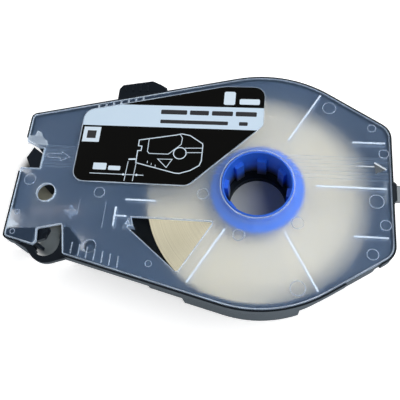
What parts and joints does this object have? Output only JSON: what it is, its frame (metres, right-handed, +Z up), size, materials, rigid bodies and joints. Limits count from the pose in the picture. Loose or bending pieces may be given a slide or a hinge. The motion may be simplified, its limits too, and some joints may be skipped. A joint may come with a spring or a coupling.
{
  "type": "label tape cassette",
  "caption": "Label tape cassette with a black tray, a smoky see-through cover, a blue reel hub with drive teeth, a wound roll of cream tape and a black and white face label",
  "frame": {"origin": "on the reel's axis, in the plane of the flat underside", "axes": "+Z up along the reel's axis, +X towards the tail with the pull tab, -X towards the nose, +Y towards the long side with the ribbed tab"},
  "size_m": [0.1435, 0.0924, 0.0225],
  "materials": {
    "black_case": "moulded black plastic with a soft gloss",
    "smoky_cover": "smoky blue-grey see-through plastic",
    "blue_reel": "bright blue moulded plastic",
    "wound_tape": "cream tape wound on edge",
    "label_print": "printed film, black with a pale band",
    "grey_tab": "translucent grey plastic"
  },
  "bodies": {
    "case": {"base_tray": "black_case", "top_cover": "smoky_cover", "tape_leader": "wound_tape", "face_label": "label_print", "pull_tab": "grey_tab"},
    "reel": {"reel_hub": "blue_reel", "tape_roll": "wound_tape"}
  },
  "joints": [
    {"name": "reel_turn", "type": "hinge", "parent": "case", "child": "reel", "pos_m": [0, 0, 0.0118], "axis": [0, 0, 1], "continuous": true}
  ]
}
